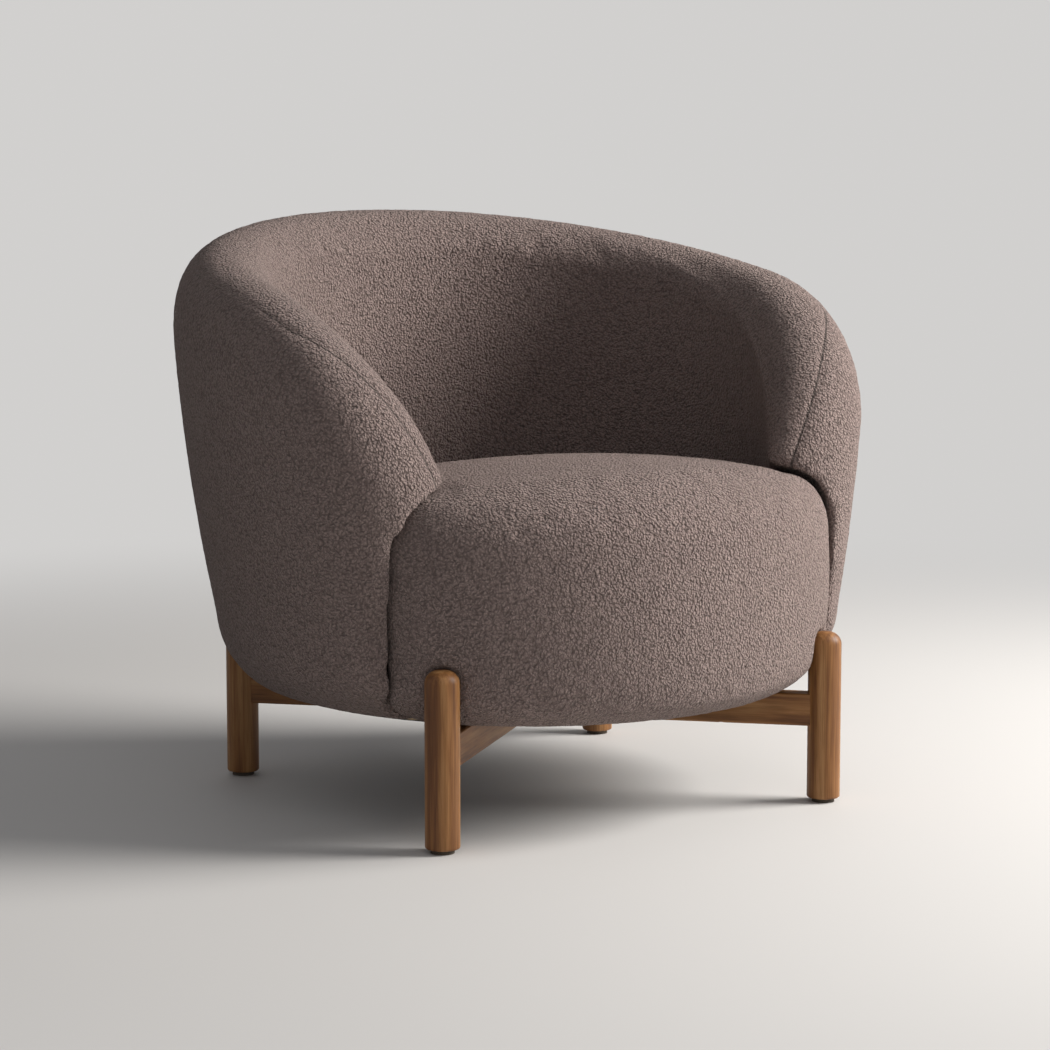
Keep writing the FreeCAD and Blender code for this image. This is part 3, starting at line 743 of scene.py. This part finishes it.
def boucle():
    """Looped yarn: round loops a few millimetres across; the colour is painted shade in the gaps between
    loops and a painted highlight on their tops, with the yarn's own random tone.
    """
    made, tree, shader = material("boucle_taupe", 0.95)
    at = place_vector(tree)
    drift = node(tree, "ShaderNodeTexNoise", Scale=160.0, Detail=2.0)
    tree.links.new(at, drift.inputs["Vector"])
    bent = mix(tree, "LINEAR_LIGHT", LOOP_WANDER, at, drift.outputs["Color"])
    loops = node(tree, "ShaderNodeTexVoronoi", Scale=LOOPS_PER_M, Randomness=1.0, feature="F1")
    tree.links.new(bent, loops.inputs["Vector"])
    yarn = node(tree, "ShaderNodeTexNoise", Scale=YARN_PER_LOOP * LOOPS_PER_M, Detail=2.0)
    tree.links.new(at, yarn.inputs["Vector"])
    patches = node(tree, "ShaderNodeTexNoise", Scale=26.0, Detail=3.0)
    tree.links.new(at, patches.inputs["Vector"])
    dome = calc(tree, "SUBTRACT", 1.0, calc(tree, "POWER", loops.outputs["Distance"], LOOP_DOME))
    curls = calc(tree, "ADD", dome, calc(tree, "MULTIPLY", yarn.outputs["Fac"], YARN_SHARE))
    marks = node(tree, "ShaderNodeAttribute", attribute_name="seam")
    split = node(tree, "ShaderNodeSeparateXYZ")
    tree.links.new(marks.outputs["Vector"], split.inputs["Vector"])
    side = calc(tree, "ABSOLUTE", split.outputs["X"], 0.0)
    within = calc(tree, "LESS_THAN", split.outputs["Y"], SEAM_FAR * MM)
    seam_band = calc(tree, "MULTIPLY", within, calc(tree, "LESS_THAN", side, SEAM_LINE_W * MM))
    sewn = calc(tree, "MULTIPLY", seam_band, split.outputs["Z"])
    height = calc(tree, "SUBTRACT", curls, calc(tree, "MULTIPLY", sewn, SEAM_SINK))
    bump = node(tree, "ShaderNodeBump", Strength=1.0, Distance=0.0045)
    tree.links.new(height, bump.inputs["Height"])
    tree.links.new(bump.outputs["Normal"], shader.inputs["Normal"])
    # Painted shade in the gaps between loops and a painted highlight on their tops, mixed with the yarn's
    # random tone
    shade = ramp(tree, curls, ((0.45, BOUCLE_GAP_SHADE), (0.85, BOUCLE_MID), (1.0, BOUCLE_TOP_HIGHLIGHT)))
    wear = ramp(tree, patches.outputs["Fac"], ((0.3, (0.84, 0.82, 0.84)), (0.7, (1.0, 1.0, 0.98))))
    mottled = mix(tree, "MULTIPLY", 0.3, shade, wear)
    # Painted shade along the seam: the sewn band is mixed towards near-black where the cover is drawn in
    dark = mix(tree, "MIX", calc(tree, "MULTIPLY", sewn, SEAM_SHADE), mottled, (*BOUCLE_SEAM_SHADE, 1))
    tree.links.new(dark, shader.inputs["Base Color"])
    shader.inputs["Sheen Weight"].default_value = 0.25
    shader.inputs["Sheen Roughness"].default_value = 0.5
    shader.inputs["Sheen Tint"].default_value = (0.75, 0.66, 0.6, 1)
    shader.inputs["Specular IOR Level"].default_value = 0.15
    return made


def oak(name, turn=0.0, along="Z"):
    """Honey oak: long grain with darker streaks and fine pores, along one axis."""
    made, tree, shader = material(name, 0.5)
    stretch = (1.0, 1.0, GRAIN_STRETCH) if along == "Z" else (GRAIN_STRETCH, 1.0, 1.0)
    at = place_vector(tree, stretch, turn)
    broad = node(tree, "ShaderNodeTexNoise", Scale=70.0, Detail=4.0, Roughness=0.55, Distortion=0.6)
    fine = node(tree, "ShaderNodeTexNoise", Scale=620.0, Detail=3.0)
    rings = node(tree, "ShaderNodeTexWave", Scale=55.0, Distortion=7.0, Detail=2.0)
    rings.wave_type, rings.bands_direction = "BANDS", "X"
    for texture in (broad, fine, rings):
        tree.links.new(at, texture.inputs["Vector"])
    base = ramp(tree, broad.outputs["Fac"], ((0.36, OAK_DARK), (0.5, OAK_MID), (0.66, OAK_LIGHT)))
    lines = ramp(tree, rings.outputs["Fac"], ((0.0, (0.72, 0.66, 0.58)), (0.35, (1.0, 1.0, 1.0))))
    pores = ramp(tree, fine.outputs["Fac"], ((0.36, (0.62, 0.55, 0.47)), (0.5, (1.0, 1.0, 1.0))))
    grain = mix(tree, "MULTIPLY", 0.55, base, lines)
    tree.links.new(mix(tree, "MULTIPLY", 0.5, grain, pores), shader.inputs["Base Color"])
    bump = node(tree, "ShaderNodeBump", Strength=0.25, Distance=0.0006)
    tree.links.new(fine.outputs["Fac"], bump.inputs["Height"])
    tree.links.new(bump.outputs["Normal"], shader.inputs["Normal"])
    shader.inputs["Specular IOR Level"].default_value = 0.3
    shader.inputs["Coat Weight"].default_value = 0.06
    shader.inputs["Coat Roughness"].default_value = 0.35
    return made


def plain(name, dark, light, roughness, scale, metallic=0.0, stretch=(1, 1, 1)):
    """Small mottled material for the hidden or small parts."""
    made, tree, shader = material(name, roughness)
    grain = node(tree, "ShaderNodeTexNoise", Scale=scale, Detail=4.0)
    tree.links.new(place_vector(tree, stretch), grain.inputs["Vector"])
    shade = ramp(tree, grain.outputs["Fac"], ((0.35, dark), (0.65, light)))
    tree.links.new(shade, shader.inputs["Base Color"])
    shader.inputs["Metallic"].default_value = metallic
    bump = node(tree, "ShaderNodeBump", Strength=0.4, Distance=0.0003)
    tree.links.new(grain.outputs["Fac"], bump.inputs["Height"])
    tree.links.new(bump.outputs["Normal"], shader.inputs["Normal"])
    return made


def small_finishes():
    """Finishes of the hidden and small parts, by the record's material slots."""
    return {
        "felt_glide": plain("felt", (0.05, 0.04, 0.03), (0.10, 0.08, 0.06), roughness=0.95, scale=900.0),
        "black_lining": plain("lining", (0.010, 0.010, 0.011), (0.022, 0.022, 0.024),
                              roughness=0.9, scale=1500.0),
        "zinc_steel": plain("zinc", (0.45, 0.45, 0.43), (0.62, 0.62, 0.60),
                            roughness=0.35, scale=400.0, metallic=1.0),
        "plywood": plain("plywood", (0.50, 0.36, 0.21), (0.64, 0.48, 0.30),
                         roughness=0.6, scale=60.0, stretch=(1, 1, 6)),
        "fibreboard": plain("fibreboard", (0.20, 0.13, 0.08), (0.28, 0.19, 0.12),
                            roughness=0.7, scale=500.0),
        "elastic_webbing": plain("webbing", (0.02, 0.018, 0.016), (0.06, 0.05, 0.045),
                                 roughness=0.8, scale=700.0),
    }


def dress(piece, finish):
    piece.data.materials.clear()
    piece.data.materials.append(finish)


# Room: floor, lamps and camera

def seen_rays(tree):
    """1 for the rays that show a background: seen straight, in gloss or through glass."""
    path = tree.nodes.new("ShaderNodeLightPath")
    gloss = calc(tree, "MAXIMUM", path.outputs["Is Glossy Ray"], path.outputs["Is Transmission Ray"])
    return calc(tree, "MAXIMUM", path.outputs["Is Camera Ray"], gloss)


def make_floor():
    """Pale floor that fades into the backdrop further out, for the rays that show a background."""
    mesh = bpy.data.meshes.new("floor")
    corners = [(x * FLOOR_HALF, y * FLOOR_HALF, 0) for x, y in ((-1, -1), (1, -1), (1, 1), (-1, 1))]
    mesh.from_pydata(corners, [], [(0, 1, 2, 3)])
    floor = new_object("floor", mesh)
    made, tree, shader = material("floor_paint", 0.7)
    shader.inputs["Base Color"].default_value = (*FLOOR_COLOUR, 1)
    where = node(tree, "ShaderNodeTexCoord")
    reach = node(tree, "ShaderNodeVectorMath", operation="LENGTH")
    tree.links.new(where.outputs["Object"], reach.inputs[0])
    fade = node(tree, "ShaderNodeMapRange", interpolation_type="SMOOTHSTEP")
    fade.inputs["From Min"].default_value = FADE_FROM
    fade.inputs["From Max"].default_value = FADE_TO
    tree.links.new(reach.outputs["Value"], fade.inputs["Value"])
    far = node(tree, "ShaderNodeEmission", Color=BACKDROP_COLOUR)
    blend = tree.nodes.new("ShaderNodeMixShader")
    tree.links.new(calc(tree, "MULTIPLY", fade.outputs["Result"], seen_rays(tree)), blend.inputs["Fac"])
    tree.links.new(shader.outputs["BSDF"], blend.inputs[1])
    tree.links.new(far.outputs["Emission"], blend.inputs[2])
    tree.links.new(blend.outputs["Shader"], tree.nodes["Material Output"].inputs["Surface"])
    dress(floor, made)


def lamp(name, spot, size, watts, colour):
    light = bpy.data.lights.new(name, "AREA")
    light.shape = "DISK"
    light.size = size
    light.energy = watts
    light.color = colour
    made = bpy.data.objects.new(name, light)
    made.location = spot
    made.rotation_euler = (Vector(LAMP_AIM) - Vector(spot)).to_track_quat("-Z", "Y").to_euler()
    bpy.context.scene.collection.objects.link(made)


def make_room():
    make_floor()
    lamp("key_lamp", KEY_SPOT, KEY_SIZE, KEY_WATTS, KEY_COLOUR)
    lamp("fill_lamp", FILL_SPOT, FILL_SIZE, FILL_WATTS, FILL_COLOUR)
    world = bpy.data.worlds.new("studio")
    world.use_nodes = True
    tree = world.node_tree
    surface = tree.nodes["Background"]
    tree.links.new(mix(tree, "MIX", seen_rays(tree), WORLD_COLOUR, BACKDROP_COLOUR), surface.inputs["Color"])
    bpy.context.scene.world = world


def make_camera():
    data = bpy.data.cameras.new("camera")
    data.lens = CAMERA_LENS
    data.sensor_width = CAMERA_SENSOR
    camera = bpy.data.objects.new("camera", data)
    camera.location = CAMERA_SPOT
    yaw, pitch = math.radians(CAMERA_YAW), math.radians(CAMERA_PITCH)
    look = Vector((math.sin(yaw) * math.cos(pitch), math.cos(yaw) * math.cos(pitch), -math.sin(pitch)))
    camera.rotation_euler = look.to_track_quat("-Z", "Y").to_euler()
    bpy.context.scene.collection.objects.link(camera)
    bpy.context.scene.camera = camera


def main():
    make_camera()
    make_room()
    bpy.context.scene.view_settings.view_transform = "Standard"
    cloth = boucle()
    for piece in (make_tub(), make_seat()):
        dress(piece, cloth)
    upright = oak("oak_legs")
    for name, (x, y) in LEG_SPOTS.items():
        dress(turned_leg(name, x, y), upright)
    turn = math.atan2(LEG_Y, LEG_X)
    dress(frame["nodes"]["cross_rail_upper"], oak("oak_rail_upper", -turn, "X"))
    dress(frame["nodes"]["cross_rail_lower"], oak("oak_rail_lower", turn, "X"))
    finishes = small_finishes()
    for part in frame["record"]["subparts"]:
        if part["material_slot"] in finishes:
            dress(frame["nodes"][part["node"]], finishes[part["material_slot"]])


main()
